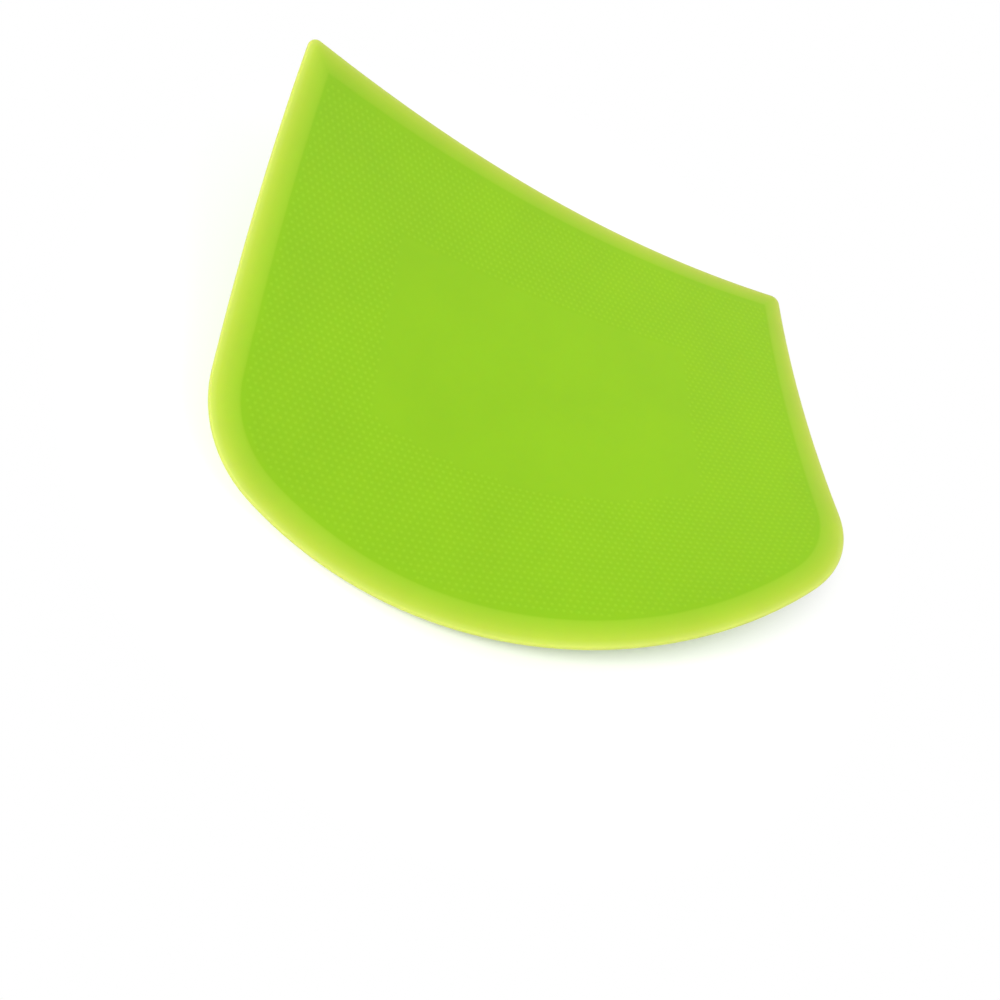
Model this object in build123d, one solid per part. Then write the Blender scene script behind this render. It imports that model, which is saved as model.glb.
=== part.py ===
from build123d import *
import os
from math import cos, pi, radians, sin, sqrt

# A flexible bowl scraper: one soft silicone blade, moulded round a thin springy plate.
# The outline is drawn flat, X across the blade and Y towards its straight top edge, and is then
# rolled onto a large cylinder, because the scraper is shown flexed. The hollow side faces up and
# the blade lies on its rounded back.

# Flat outline of the blade
blade_width = 145.0
blade_height = 121.4
bowl_curve_rise = 30.4
lower_corner_radius = 30.0
top_corner_radius = 2.4
inner_corner_radius = 1.6

# Section of the blade, from its thick middle out to the rounded scraping lip
body_thickness = 3.4
bevel_width = 6.2
lip_thickness = 1.2

# Plate sealed in the middle, and the row of holes that lock the silicone to it
plate_thickness = 0.8
plate_cover = 2.4
plate_corner_radius = 3.0
bond_hole_diameter = 6.0
bond_hole_margin = 8.0
bond_hole_count = 16

# Flex of the whole scraper: the radius of its middle layer, and the line that stays straight
flex_radius = 148.6
flex_line_angle = 45.9

# Points sampled along each rolled edge, and narrow flats that make up the half-round lip
edge_steps = 24
lip_steps = 6

# Directions of the flexed blade: along the line that stays straight, across it, and up
along_line = Vector(cos(radians(flex_line_angle)), sin(radians(flex_line_angle)), 0)
across_line = Vector(sin(radians(flex_line_angle)), -cos(radians(flex_line_angle)), 0)
upwards = Vector(0, 0, 1)


def flat_outline(inset, least_radius):
    """The blade's outline, drawn inwards by an inset: three straight sides and the bowl curve."""
    half_width = blade_width / 2
    curve_radius = (half_width**2 + bowl_curve_rise**2) / (2 * bowl_curve_rise)
    curve_centre = curve_radius - blade_height / 2
    side = half_width - inset
    top = blade_height / 2 - inset
    bottom = inset - blade_height / 2
    side_end = curve_centre - sqrt((curve_radius - inset) ** 2 - side**2)
    with BuildSketch() as sketch:
        with BuildLine():
            Line((-side, top), (side, top))
            Line((side, top), (side, side_end))
            ThreePointArc((side, side_end), (0, bottom), (-side, side_end))
            Line((-side, side_end), (-side, top))
        make_face()
        top_corners = sketch.vertices().group_by(Axis.Y)[-1]
        fillet(top_corners, max(top_corner_radius - inset, least_radius))
        lower_corners = sketch.vertices().group_by(Axis.Y)[0]
        fillet(lower_corners, max(lower_corner_radius - inset, least_radius))
    return sketch.sketch.face()


# The blade touches the table along the line under its balance point
balance_point = flat_outline(0, inner_corner_radius).center()


def rolled_point(flat_point, height):
    """Where a flat point comes to lie, at a height above the blade's middle layer."""
    offset = Vector(flat_point) - balance_point
    turn = offset.dot(across_line) / flex_radius
    reach = flex_radius - height
    lift = flex_radius + body_thickness / 2 - reach * cos(turn)
    return across_line * (reach * sin(turn)) + along_line * offset.dot(along_line) + upwards * lift


def rolled_direction(flat_point, flat_direction, height):
    """The direction that a flat direction takes at a point."""
    turn = (Vector(flat_point) - balance_point).dot(across_line) / flex_radius
    stretch = (flex_radius - height) / flex_radius
    rolling = across_line * cos(turn) + upwards * sin(turn)
    return rolling * (flat_direction.dot(across_line) * stretch) + along_line * flat_direction.dot(along_line)


def rolled_edges(flat_face, height):
    """The edges of a flat outline, in order, rolled at a height above the middle layer."""
    edges = []
    for edge in flat_face.outer_wire().order_edges():
        points = [rolled_point(edge @ (step / edge_steps), height) for step in range(edge_steps + 1)]
        tangents = [rolled_direction(edge @ end, edge % end, height) for end in (0, 1)]
        edges.append(Edge.make_spline(points, tangents))
    return edges


def rolled_skin(edges, height):
    """The smooth face of the cylinder, inside a rolled outline."""
    reach = (blade_width + blade_height) / 2
    line_start = balance_point - along_line * reach
    arc_points = [rolled_point(line_start + across_line * place, height) for place in (-reach, 0, reach)]
    sheet = Face.extrude(Edge.make_three_point_arc(*arc_points), along_line * (2 * reach))
    inside, outside = sheet.split_by_perimeter(Wire(edges), Keep.BOTH)
    return min(inside, outside, key=lambda face: face.area)


def rolled_solid(layers):
    """A closed solid over a stack of flat outlines, each rolled at its height, from the top down."""
    outlines = [rolled_edges(flat_face, height) for flat_face, height in layers]
    faces = [rolled_skin(outlines[0], layers[0][1]), rolled_skin(outlines[-1], layers[-1][1])]
    for upper, lower in zip(outlines, outlines[1:]):
        faces += [Face.make_surface_from_curves(one, other) for one, other in zip(upper, lower)]
    return Solid(Shell(faces))


def make_blade_form():
    """The outside of the silicone: two smooth faces, a bevel round each, and the round lip between."""
    lip_radius = lip_thickness / 2
    face_outline = flat_outline(bevel_width, inner_corner_radius)
    layers = [(face_outline, body_thickness / 2)]
    for step in range(lip_steps + 1):
        angle = pi / 2 - pi * step / lip_steps
        outline = flat_outline(lip_radius * (1 - cos(angle)), inner_corner_radius)
        layers.append((outline, lip_radius * sin(angle)))
    layers.append((face_outline, -body_thickness / 2))
    return rolled_solid(layers)


def make_core_plate():
    """The springy plate, with a row of bond holes a little way in from its edge."""
    plate_inset = bevel_width + plate_cover
    outline = flat_outline(plate_inset, plate_corner_radius)
    plate = rolled_solid([(outline, plate_thickness / 2), (outline, -plate_thickness / 2)])
    hole_line = flat_outline(plate_inset + bond_hole_margin, plate_corner_radius).outer_wire()
    top_middle = hole_line.order_edges()[0].length / 2 / hole_line.length
    for hole in range(bond_hole_count):
        flat_place = hole_line @ ((top_middle + hole / bond_hole_count) % 1)
        place = rolled_point(flat_place, 0)
        facing = rolled_point(flat_place, plate_thickness) - place
        plate -= Plane(place, along_line, facing) * Cylinder(bond_hole_diameter / 2, body_thickness)
    return plate


core_plate = make_core_plate()
silicone_blade = make_blade_form() - core_plate

# The origin is on the table, under the middle of the blade's box
box = silicone_blade.bounding_box()
to_origin = Pos(-box.center().X, -box.center().Y, 0)

os.makedirs("parts", exist_ok=True)
export_step(to_origin * silicone_blade, "parts/silicone_blade.step")
export_step(to_origin * core_plate, "parts/core_plate.step")
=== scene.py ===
from math import atan2, cos, pi, radians, sin, sqrt

import bmesh
import bpy
from mathutils import Matrix, Vector
from mathutils.kdtree import KDTree


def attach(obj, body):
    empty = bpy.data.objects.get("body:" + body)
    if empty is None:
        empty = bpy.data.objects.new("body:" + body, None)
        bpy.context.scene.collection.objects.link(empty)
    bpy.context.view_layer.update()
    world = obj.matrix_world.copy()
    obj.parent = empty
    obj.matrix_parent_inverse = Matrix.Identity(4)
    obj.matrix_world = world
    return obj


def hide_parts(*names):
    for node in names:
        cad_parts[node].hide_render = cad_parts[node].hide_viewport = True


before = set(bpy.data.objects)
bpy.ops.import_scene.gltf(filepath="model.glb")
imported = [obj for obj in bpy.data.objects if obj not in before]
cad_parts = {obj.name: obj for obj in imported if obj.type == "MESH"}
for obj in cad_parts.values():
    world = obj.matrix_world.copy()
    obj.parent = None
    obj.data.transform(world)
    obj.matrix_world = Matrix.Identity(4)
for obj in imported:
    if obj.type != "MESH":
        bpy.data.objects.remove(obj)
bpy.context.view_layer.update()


# The blade: one piece of lime silicone rubber, compression moulded round a sealed plate.
# Its middle has a fine field of raised dots on both faces round a smooth panel, and its edge is
# bevelled down to a thin rounded lip. It is modelled flat and then rolled to its bend.

MM = 0.001

blade_width = 145.0 * MM
blade_height = 121.4 * MM
bowl_curve_rise = 30.4 * MM
lower_corner_radius = 30.0 * MM
top_corner_radius = 2.4 * MM
inner_corner_radius = 1.6 * MM

body_thickness = 3.4 * MM
bevel_width = 6.2 * MM
bevel_crown = 0.08 * MM
crest_rounding = 0.9 * MM
lip_thickness = 1.2 * MM

dot_pitch = 1.58 * MM
dot_radius = 0.58 * MM
dot_height = 0.09 * MM
dot_clearance = 0.1 * MM

panel_width = 79.0 * MM
panel_top = 29.5 * MM
panel_bottom = -23.0 * MM

flex_radius = 148.6 * MM
flex_line_angle = radians(45.9)

half_width = blade_width / 2
half_height = blade_height / 2
curve_radius = (half_width**2 + bowl_curve_rise**2) / (2 * bowl_curve_rise)
curve_centre = curve_radius - half_height
corner_x = half_width - lower_corner_radius
corner_y = curve_centre - sqrt((curve_radius - lower_corner_radius) ** 2 - corner_x**2)
corner_angle = atan2(curve_centre - corner_y, corner_x)
face_height = body_thickness / 2 - dot_height

# Steps along each stretch of the outline
top_steps = 36
side_steps = 20
curve_steps = 44
top_corner_steps = 8
lower_corner_steps = 18


def straight(start, end, steps):
    """Points along a straight stretch of the outline, without its last one."""
    return [Vector(start).lerp(Vector(end), step / steps) for step in range(steps)]


def arc(centre, radius, start, end, steps):
    """Points along a round stretch of the outline, without its last one."""
    angles = [start + (end - start) * step / steps for step in range(steps)]
    return [Vector(centre) + radius * Vector((cos(angle), sin(angle))) for angle in angles]


def outline_ring(inset):
    """The flat outline drawn inwards by an inset, from the right of the top edge, anticlockwise."""
    side = half_width - inset
    top = half_height - inset
    top_radius = max(top_corner_radius - inset, inner_corner_radius)
    low_radius = lower_corner_radius - inset
    top_x, top_y = side - top_radius, top - top_radius
    left_turn, right_turn = pi + corner_angle, 2 * pi - corner_angle
    return (
        straight((top_x, top), (-top_x, top), top_steps)
        + arc((-top_x, top_y), top_radius, pi / 2, pi, top_corner_steps)
        + straight((-side, top_y), (-side, corner_y), side_steps)
        + arc((-corner_x, corner_y), low_radius, pi, left_turn, lower_corner_steps)
        + arc((0, curve_centre), curve_radius - inset, left_turn, right_turn, curve_steps)
        + arc((corner_x, corner_y), low_radius, right_turn, 2 * pi, lower_corner_steps)
        + straight((side, corner_y), (side, top_y), side_steps)
        + arc((top_x, top_y), top_radius, 0, pi / 2, top_corner_steps)
    )


def inside_outline(x, y, inset):
    """How far a flat point lies inside the outline drawn in by an inset, and the way out."""
    side = half_width - inset
    top = half_height - inset
    top_radius = max(top_corner_radius - inset, inner_corner_radius)
    across = Vector((-1 if x < 0 else 1, 0))
    from_top_corner = Vector((abs(x) - side + top_radius, y - top + top_radius))
    from_low_corner = Vector((abs(x) - corner_x, y - corner_y))
    from_curve_centre = Vector((abs(x), y - curve_centre))
    if min(from_top_corner) > 0:
        way_out = Vector((from_top_corner.x * across.x, from_top_corner.y)).normalized()
        return top_radius - from_top_corner.length, way_out
    if y < corner_y and atan2(curve_centre - y, abs(x)) < corner_angle:
        way_out = Vector((from_low_corner.x * across.x, from_low_corner.y)).normalized()
        return lower_corner_radius - inset - from_low_corner.length, way_out
    way_down = Vector((from_curve_centre.x * across.x, from_curve_centre.y)).normalized()
    return min(
        (side - abs(x), across),
        (top - y, Vector((0, 1))),
        (curve_radius - inset - from_curve_centre.length, way_down),
        key=lambda choice: choice[0],
    )


def on_smooth_panel(x, y):
    """Whether a flat point is on the smooth panel, whose lower edge has the bowl curve's radius."""
    lower_edge = panel_bottom + curve_radius - sqrt(curve_radius**2 - min(abs(x), panel_width / 2) ** 2)
    return abs(x) < panel_width / 2 and lower_edge < y < panel_top


def edit(piece, kind="VERT"):
    """Goes into edit mode on a piece with nothing selected, and returns its mesh."""
    bpy.context.view_layer.objects.active = piece
    bpy.ops.object.mode_set(mode="EDIT")
    bpy.ops.mesh.select_mode(type=kind)
    bpy.ops.mesh.select_all(action="DESELECT")
    return bmesh.from_edit_mesh(piece.data)


def select(piece, mesh, chosen):
    """Selects vertices, edges or faces of the piece in edit mode."""
    for part in chosen:
        part.select_set(True)
    mesh.select_flush_mode()
    bmesh.update_edit_mesh(piece.data)


# The rim is drawn as one loop at the lip's middle and extruded up and inwards, row by row.
lip_radius = lip_thickness / 2
bevel_slope = atan2(face_height - lip_radius, bevel_width)
lip_steps = 4
bevel_steps = 5
rim_rows = [
    (lip_radius * (1 - cos(turn)), lip_radius * sin(turn))
    for turn in [(pi / 2 - bevel_slope) * step / lip_steps for step in range(lip_steps + 1)]
]
bevel_start = Vector(rim_rows[-1])
bevel_end = Vector((bevel_width - crest_rounding, face_height - crest_rounding * bevel_slope / 2))
for step in range(1, bevel_steps + 1):
    share = step / bevel_steps
    rim_rows.append(bevel_start.lerp(bevel_end, share) + Vector((0, bevel_crown * 4 * share * (1 - share))))
rim_rows.append((bevel_width - crest_rounding / 2, face_height - crest_rounding * bevel_slope / 8))

bpy.ops.object.select_all(action="DESELECT")
bpy.ops.mesh.primitive_circle_add(vertices=len(outline_ring(0)), radius=half_width)
blade = bpy.context.object
blade.name = "scraper_blade"
rim = edit(blade)
station = rim.verts.layers.int.new("station")
for number, vertex in enumerate(rim.verts):
    vertex[station] = number
    vertex.co = outline_ring(0)[number].to_3d()
bmesh.update_edit_mesh(blade.data)
bpy.ops.mesh.select_all(action="SELECT")
for inset, height in rim_rows[1:]:
    bpy.ops.mesh.extrude_edges_move()
    rim = bmesh.from_edit_mesh(blade.data)
    station = rim.verts.layers.int["station"]
    row = outline_ring(inset)
    for vertex in rim.verts:
        if vertex.select:
            vertex.co = (*row[vertex[station]], height)
    bmesh.update_edit_mesh(blade.data)
bpy.ops.object.mode_set(mode="OBJECT")

# The dotted face starts as a grid whose every second row is shifted by half a pitch.
row_pitch = dot_pitch * sqrt(3) / 2
columns = 2 * int(half_width / dot_pitch) + 1
rows = 2 * int(half_height / row_pitch) + 1
bpy.ops.object.select_all(action="DESELECT")
bpy.ops.mesh.primitive_grid_add(x_subdivisions=columns - 1, y_subdivisions=rows - 1, size=1)
face = bpy.context.object
grid = edit(face)
for vertex in grid.verts:
    column = round((vertex.co.x + 0.5) * (columns - 1))
    line = round((vertex.co.y + 0.5) * (rows - 1))
    shift = line % 2 / 2
    vertex.co.x = (column + shift - columns / 2) * dot_pitch
    vertex.co.y = (line - rows / 2) * row_pitch
    vertex.co.z = face_height
bmesh.update_edit_mesh(face.data)
bpy.ops.mesh.select_all(action="SELECT")
bpy.ops.mesh.quads_convert_to_tris(quad_method="SHORTEST_DIAGONAL")

# It is trimmed to the outline: the last grid points are drawn onto the crest of the bevel.
grid = bmesh.from_edit_mesh(face.data)
crest_room = dot_radius + dot_clearance
room = {vertex: inside_outline(vertex.co.x, vertex.co.y, bevel_width) for vertex in grid.verts}
bpy.ops.mesh.select_all(action="DESELECT")
outside = [part for part in grid.faces if max(room[vertex][0] for vertex in part.verts) < crest_room]
for part in outside:
    part.select_set(True)
for vertex, (distance, way_out) in room.items():
    if distance < crest_room:
        vertex.co += (way_out * distance).to_3d()
bmesh.update_edit_mesh(face.data)
bpy.ops.mesh.select_mode(type="FACE")
bpy.ops.mesh.delete(type="FACE")

# Each grid point off the smooth panel is cut to a small hexagon, whose middle is raised to a dot.
grid = edit(face)
dots = [
    vertex
    for vertex in grid.verts
    if inside_outline(vertex.co.x, vertex.co.y, bevel_width)[0] > crest_room / 2
    and not on_smooth_panel(vertex.co.x, vertex.co.y)
]
dot_places = KDTree(len(dots))
for number, vertex in enumerate(dots):
    dot_places.insert(vertex.co, number)
dot_places.balance()
select(face, grid, dots)
bpy.ops.mesh.bevel(offset=dot_radius, offset_type="OFFSET", affect="VERTICES", clamp_overlap=False)
bpy.ops.mesh.select_mode(type="FACE")
bpy.ops.mesh.select_all(action="DESELECT")
grid = bmesh.from_edit_mesh(face.data)
near_dot = dot_radius / 4
dot_faces = [part for part in grid.faces if dot_places.find(part.calc_center_median())[2] < near_dot]
select(face, grid, dot_faces)
bpy.ops.mesh.poke(offset=dot_height, center_mode="MEDIAN")
bpy.ops.object.mode_set(mode="OBJECT")

# The face is joined to the rim, the narrow gap between them is filled, and the back is mirrored.
bpy.ops.object.select_all(action="DESELECT")
face.select_set(True)
blade.select_set(True)
bpy.context.view_layer.objects.active = blade
bpy.ops.object.join()
whole = edit(blade, "EDGE")
select(blade, whole, [edge for edge in whole.edges if edge.is_boundary and edge.verts[0].co.z > lip_radius])
bpy.ops.mesh.fill()
bpy.ops.object.mode_set(mode="OBJECT")
mirror = blade.modifiers.new("back", "MIRROR")
mirror.use_axis = (False, False, True)
mirror.merge_threshold = dot_height / 100
bpy.ops.object.modifier_apply(modifier=mirror.name)
edit(blade)
bpy.ops.mesh.select_all(action="SELECT")
bpy.ops.mesh.normals_make_consistent(inside=False)
bpy.ops.object.mode_set(mode="OBJECT")

# While it is flat, each point keeps how far it is across the bevel, and how much painted highlight it gets:
# fully on a dot's top, for the light that the raised dots catch, and on the panel by the dots' mean, so
# that the panel hardly stands out.
panel_highlight_share = (dot_radius / dot_pitch) ** 2
across_bevel = blade.data.attributes.new("across_bevel", "FLOAT", "POINT")
dot_highlight_share = blade.data.attributes.new("dot_highlight_share", "FLOAT", "POINT")
for point in blade.data.vertices:
    inside = inside_outline(point.co.x, point.co.y, 0)[0]
    across_bevel.data[point.index].value = min(1, max(0, inside / bevel_width))
    if abs(point.co.z) > body_thickness / 2 - dot_height / 2:
        dot_highlight_share.data[point.index].value = 1
    elif on_smooth_panel(point.co.x, point.co.y):
        dot_highlight_share.data[point.index].value = panel_highlight_share

# The flat blade is rolled to its bend, with its balance point lowest, and the origin is put under
# the middle of its box.
balance_point = Vector((0, 4.48)) * MM
along_line = Vector((cos(flex_line_angle), sin(flex_line_angle)))
across_line = Vector((sin(flex_line_angle), -cos(flex_line_angle)))
for point in blade.data.vertices:
    offset = point.co.xy - balance_point
    turn = offset.dot(across_line) / flex_radius
    reach = flex_radius - point.co.z
    plan = across_line * reach * sin(turn) + along_line * offset.dot(along_line)
    point.co = (*plan, flex_radius + body_thickness / 2 - reach * cos(turn))
spans = [[point.co[axis] for point in blade.data.vertices] for axis in (0, 1)]
middle = [(min(span) + max(span)) / 2 for span in spans]
blade.data.transform(Matrix.Translation((-middle[0], -middle[1], 0)))
bpy.ops.object.select_all(action="DESELECT")
blade.select_set(True)
bpy.ops.object.shade_smooth()


def linear(hex_colour):
    """An sRGB hex colour as the linear colour that a shader takes."""
    parts = [int(hex_colour[place : place + 2], 16) / 255 for place in (1, 3, 5)]
    return [*(part / 12.92 if part <= 0.04045 else ((part + 0.055) / 1.055) ** 2.4 for part in parts), 1]


def add_node(material, kind, settings=None, links=None):
    """Adds a node to a material with its settings, and with its inputs linked to other nodes."""
    node = material.node_tree.nodes.new(kind)
    for name, value in (settings or {}).items():
        if isinstance(name, int) or name in node.inputs:
            node.inputs[name].default_value = value
        else:
            setattr(node, name, value)
    for name, (other, output) in (links or {}).items():
        material.node_tree.links.new(other.outputs[output], node.inputs[name])
    return node


# Silicone rubber, compression moulded and post-cured: satin, and a little translucent. The light that the
# thin lip lets through is painted into its colour, which is paler and yellower than the middle over its
# plate.
face_colour = "#91C416"
# Painted highlight: the dots' tops are coloured lighter than the face, for the light that the raised dots
# catch.
dot_highlight_colour = "#9ACB20"
# How far across the bevel, from the lip inwards, and the colour there, lightened by painted light that
# comes through the thin lip
lip_glow_colours = {
    0.0: "#C4D066",
    0.24: "#B9CD44",
    0.5: "#ADCB36",
    0.74: "#A4CA2D",
    0.9: "#9EC827",
    0.97: "#92C418",
}
mottle_size = 18.0 * MM
# The mould's satin finish is finer than this, and is drawn as coarse as it needs to show.
satin_size = 0.7 * MM
satin_depth = 0.02 * MM
light_travel = 3.0 * MM

silicone = bpy.data.materials.new("lime_silicone_rubber")
silicone.use_nodes = True
silicone.node_tree.nodes.clear()
place = add_node(silicone, "ShaderNodeTexCoord")
bevel_place = add_node(silicone, "ShaderNodeAttribute", {"attribute_name": "across_bevel"})
dot_place = add_node(silicone, "ShaderNodeAttribute", {"attribute_name": "dot_highlight_share"})
# Painted light: the bevel is coloured paler towards the lip, for the light that the thin rubber lets
# through.
lip_glow_ramp = add_node(silicone, "ShaderNodeValToRGB", links={"Fac": (bevel_place, "Fac")})
stops = lip_glow_ramp.color_ramp.elements
stops[1].color = linear(face_colour)
for share, colour in lip_glow_colours.items():
    stop = stops.new(share) if share else stops[0]
    stop.color = linear(colour)
# The painted highlight is mixed into the colour: fully on the dots' tops, and weaker on the panel.
highlighted_colour = add_node(
    silicone,
    "ShaderNodeMix",
    {"data_type": "RGBA", 7: linear(dot_highlight_colour)},
    {0: (dot_place, "Fac"), 6: (lip_glow_ramp, "Color")},
)
mottle = add_node(
    silicone, "ShaderNodeTexNoise", {"Scale": 1 / mottle_size, "Detail": 3}, {"Vector": (place, "Object")}
)
mottle_value = add_node(
    silicone,
    "ShaderNodeMapRange",
    {"From Min": 0.3, "From Max": 0.7, "To Min": 0.98, "To Max": 1.02},
    {"Value": (mottle, "Fac")},
)
base_colour = add_node(
    silicone,
    "ShaderNodeHueSaturation",
    links={"Color": (highlighted_colour, 2), "Value": (mottle_value, "Result")},
)
satin = add_node(
    silicone, "ShaderNodeTexNoise", {"Scale": 1 / satin_size, "Detail": 2}, {"Vector": (place, "Object")}
)
satin_bump = add_node(
    silicone, "ShaderNodeBump", {"Strength": 0.12, "Distance": satin_depth}, {"Height": (satin, "Fac")}
)
satin_gloss = add_node(
    silicone,
    "ShaderNodeMapRange",
    {"From Min": 0.3, "From Max": 0.7, "To Min": 0.42, "To Max": 0.5},
    {"Value": (mottle, "Fac")},
)
rubber = add_node(
    silicone,
    "ShaderNodeBsdfPrincipled",
    {
        "IOR": 1.41,
        "Specular IOR Level": 0.25,
        "Subsurface Weight": 0.8,
        "Subsurface Radius": (1.0, 1.3, 0.45),
        "Subsurface Scale": light_travel,
    },
    {
        "Base Color": (base_colour, "Color"),
        "Roughness": (satin_gloss, "Result"),
        "Normal": (satin_bump, "Normal"),
    },
)
add_node(silicone, "ShaderNodeOutputMaterial", links={"Surface": (rubber, "BSDF")})
blade.data.materials.append(silicone)
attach(blade, "root")
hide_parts("silicone_blade")


# The plate: thin springy nylon, injection moulded and laid in the mould before the silicone, which
# joins through its row of holes. It is sealed in and doesn't show.
nylon_colour = "#DCD7C6"
# Its moulded grain is finer than this too.
nylon_grain = 0.5 * MM
grain_depth = 0.02 * MM

nylon = bpy.data.materials.new("natural_nylon")
nylon.use_nodes = True
nylon.node_tree.nodes.clear()
place = add_node(nylon, "ShaderNodeTexCoord")
cloud = add_node(
    nylon, "ShaderNodeTexNoise", {"Scale": 1 / mottle_size, "Detail": 2}, {"Vector": (place, "Object")}
)
grain = add_node(nylon, "ShaderNodeTexNoise", {"Scale": 1 / nylon_grain}, {"Vector": (place, "Object")})
cloud_value = add_node(
    nylon,
    "ShaderNodeMapRange",
    {"From Min": 0.3, "From Max": 0.7, "To Min": 0.95, "To Max": 1.0},
    {"Value": (cloud, "Fac")},
)
plate_colour = add_node(
    nylon, "ShaderNodeHueSaturation", {"Color": linear(nylon_colour)}, {"Value": (cloud_value, "Result")}
)
grain_bump = add_node(
    nylon, "ShaderNodeBump", {"Strength": 0.2, "Distance": grain_depth}, {"Height": (grain, "Fac")}
)
plastic = add_node(
    nylon,
    "ShaderNodeBsdfPrincipled",
    {"IOR": 1.53, "Roughness": 0.5, "Subsurface Weight": 0.1, "Subsurface Scale": light_travel},
    {"Base Color": (plate_colour, "Color"), "Normal": (grain_bump, "Normal")},
)
add_node(nylon, "ShaderNodeOutputMaterial", links={"Surface": (plastic, "BSDF")})
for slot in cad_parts["core_plate"].material_slots:
    slot.material = nylon


# The studio: a white floor that keeps the shadow near the scraper and runs out into an even white
# sweep, a white room, and two soft lamps.
floor_size = 6.0
shadow_reach = 0.06
sweep_width = 0.045
# Plain paper and a dim room light the scraper, and what shows behind it is white.
paper_colour = "#EDEDED"
shown_paper_colour = "#FDFDFD"
room_colour = "#FFFFFF"
room_strength = 0.3
shown_strength = 1.0

bpy.ops.object.select_all(action="DESELECT")
bpy.ops.mesh.primitive_plane_add(size=floor_size)
floor = bpy.context.object
floor.name = "floor"
paper = bpy.data.materials.new("white_paper")
paper.use_nodes = True
paper.node_tree.nodes.clear()
ray = add_node(paper, "ShaderNodeLightPath")
shown = add_node(
    paper,
    "ShaderNodeMath",
    {"operation": "MAXIMUM"},
    {0: (ray, "Is Camera Ray"), 1: (ray, "Is Glossy Ray")},
)
shown = add_node(
    paper, "ShaderNodeMath", {"operation": "MAXIMUM"}, {0: (shown, 0), 1: (ray, "Is Transmission Ray")}
)
place = add_node(paper, "ShaderNodeTexCoord")
distance = add_node(paper, "ShaderNodeVectorMath", {"operation": "LENGTH"}, {0: (place, "Object")})
sweep = add_node(
    paper,
    "ShaderNodeMapRange",
    {"interpolation_type": "SMOOTHSTEP", "From Min": shadow_reach, "From Max": shadow_reach + sweep_width},
    {"Value": (distance, "Value")},
)
plain = add_node(paper, "ShaderNodeBsdfDiffuse", {"Color": linear(paper_colour)})
near = add_node(paper, "ShaderNodeBsdfDiffuse", {"Color": linear(shown_paper_colour)})
far = add_node(paper, "ShaderNodeEmission", {"Strength": shown_strength})
white = add_node(paper, "ShaderNodeMixShader", links={0: (sweep, "Result"), 1: (near, 0), 2: (far, 0)})
either = add_node(paper, "ShaderNodeMixShader", links={0: (shown, 0), 1: (plain, 0), 2: (white, 0)})
add_node(paper, "ShaderNodeOutputMaterial", links={"Surface": (either, "Shader")})
floor.data.materials.append(paper)

world = bpy.data.worlds.new("white_room")
world.use_nodes = True
world.node_tree.nodes.clear()
ray = add_node(world, "ShaderNodeLightPath")
shown = add_node(
    world,
    "ShaderNodeMath",
    {"operation": "MAXIMUM"},
    {0: (ray, "Is Camera Ray"), 1: (ray, "Is Glossy Ray")},
)
shown = add_node(
    world, "ShaderNodeMath", {"operation": "MAXIMUM"}, {0: (shown, 0), 1: (ray, "Is Transmission Ray")}
)
room_light = add_node(
    world, "ShaderNodeBackground", {"Color": linear(room_colour), "Strength": room_strength}
)
white_room = add_node(
    world, "ShaderNodeBackground", {"Color": linear(room_colour), "Strength": shown_strength}
)
either = add_node(
    world, "ShaderNodeMixShader", links={0: (shown, 0), 1: (room_light, 0), 2: (white_room, 0)}
)
add_node(world, "ShaderNodeOutputWorld", links={"Surface": (either, "Shader")})
bpy.context.scene.world = world

# Each softbox's place and side in metres, and its power in watts
lamps = {
    "key_softbox": ((-1.25, -0.82, 1.8), 1.1, 51.5),
    "side_softbox": ((0.6, -0.05, 0.7), 0.6, 2.0),
}
for name, (lamp_place, side, power) in lamps.items():
    lamp = bpy.data.lights.new(name, "AREA")
    lamp.size = side
    lamp.energy = power
    softbox = bpy.data.objects.new(name, lamp)
    softbox.location = lamp_place
    softbox.rotation_euler = (-Vector(lamp_place)).to_track_quat("-Z", "Y").to_euler()
    bpy.context.collection.objects.link(softbox)

# The camera looks down on the hollow side from the front left, and is rolled to one side.
camera_place = Vector((-91.36, -143.72, 188.14)) * MM
camera_line = Vector((0.35207, 0.49926, -0.79169))
camera_up = Vector((-0.2425, 0.86563, 0.43805))
focal_length = 40.01
film_width = 36.0
nearest_seen = 10.0 * MM
lens = bpy.data.cameras.new("camera")
lens.lens = focal_length
lens.sensor_width = film_width
lens.clip_start = nearest_seen
camera = bpy.data.objects.new("camera", lens)
turned = Matrix((camera_line.cross(camera_up), camera_up, -camera_line)).transposed()
camera.matrix_world = Matrix.Translation(camera_place) @ turned.to_4x4()
bpy.context.collection.objects.link(camera)
bpy.context.scene.camera = camera
bpy.context.scene.view_settings.view_transform = "Standard"
